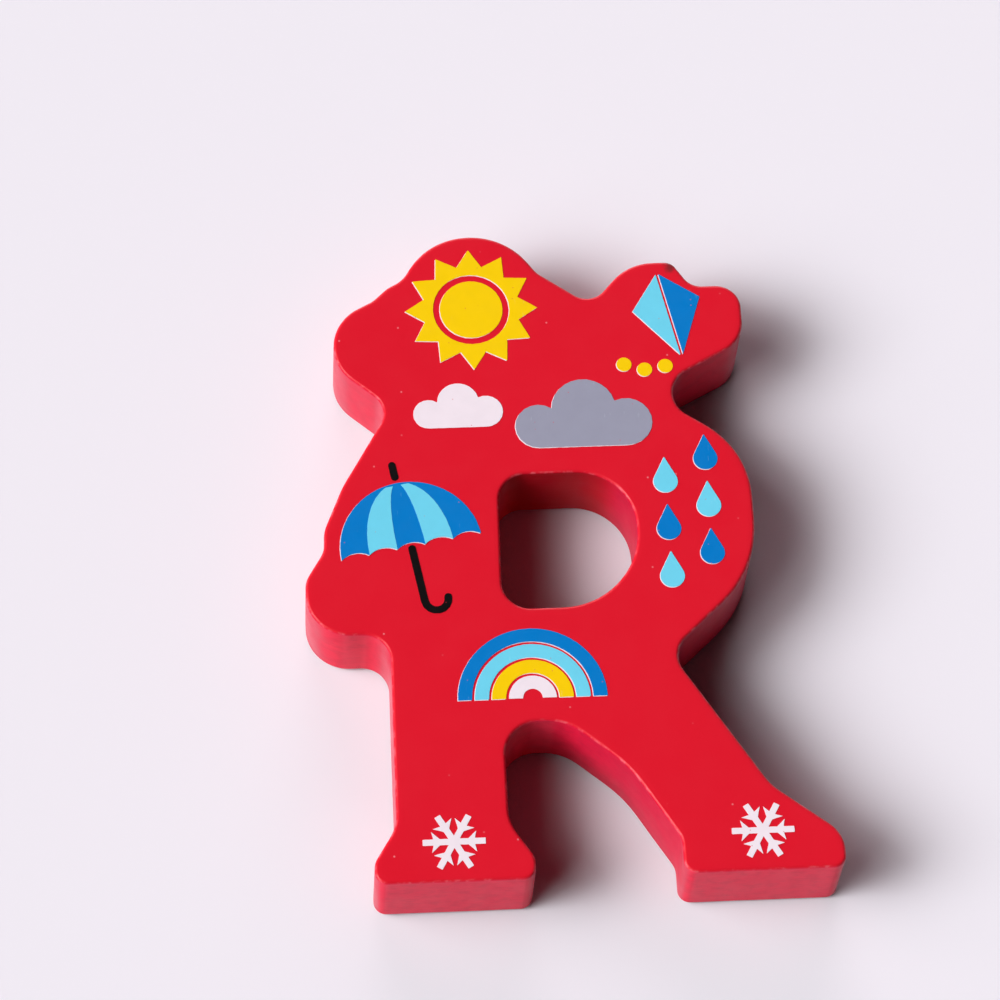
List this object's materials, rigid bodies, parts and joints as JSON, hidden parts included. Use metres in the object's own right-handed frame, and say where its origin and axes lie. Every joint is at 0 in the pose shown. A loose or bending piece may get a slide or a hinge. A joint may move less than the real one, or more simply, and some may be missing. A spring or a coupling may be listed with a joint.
{
  "type": "wooden letter",
  "caption": "Wooden letter R cut from a thick painted board, with rounded edges, a printed weather design on its front and foam mounting pads on its back.",
  "frame": {"origin": "Middle of the letter's box, on the plane of the foam pads' outer faces", "axes": "+Z out of the printed front, +Y up the letter from its feet to its top, +X the reading direction, to the right as seen from the front"},
  "size_m": [0.0738, 0.1, 0.0142],
  "materials": {
    "red_paint": "satin red lacquer on sanded wood",
    "foam": "matt closed-cell foam with adhesive on both faces",
    "grey_ink": "satin printed ink",
    "sky_ink": "satin printed ink",
    "blue_ink": "satin printed ink",
    "yellow_ink": "satin printed ink",
    "white_ink": "satin printed ink",
    "black_ink": "satin printed ink"
  },
  "bodies": {
    "root": {"letter_body": "red_paint", "pad_cap": "foam", "pad_bowl": "foam", "pad_stem": "foam", "pad_leg": "foam", "sun_disc": "yellow_ink", "sun_rays": "yellow_ink", "white_cloud": "white_ink", "grey_cloud": "grey_ink", "kite_left": "sky_ink", "kite_right": "blue_ink", "kite_tail_1": "yellow_ink", "kite_tail_2": "yellow_ink", "kite_tail_3": "yellow_ink", "rain_drop_1": "sky_ink", "rain_drop_2": "blue_ink", "rain_drop_3": "blue_ink", "rain_drop_4": "sky_ink", "rain_drop_5": "sky_ink", "rain_drop_6": "blue_ink", "umbrella_canopy": "blue_ink", "umbrella_left_panel": "sky_ink", "umbrella_right_panel": "sky_ink", "umbrella_shaft": "black_ink", "umbrella_tip": "black_ink", "rainbow_blue": "blue_ink", "rainbow_sky": "sky_ink", "rainbow_yellow": "yellow_ink", "rainbow_white": "white_ink", "snowflake_left": "white_ink", "snowflake_right": "white_ink"}
  },
  "joints": []
}
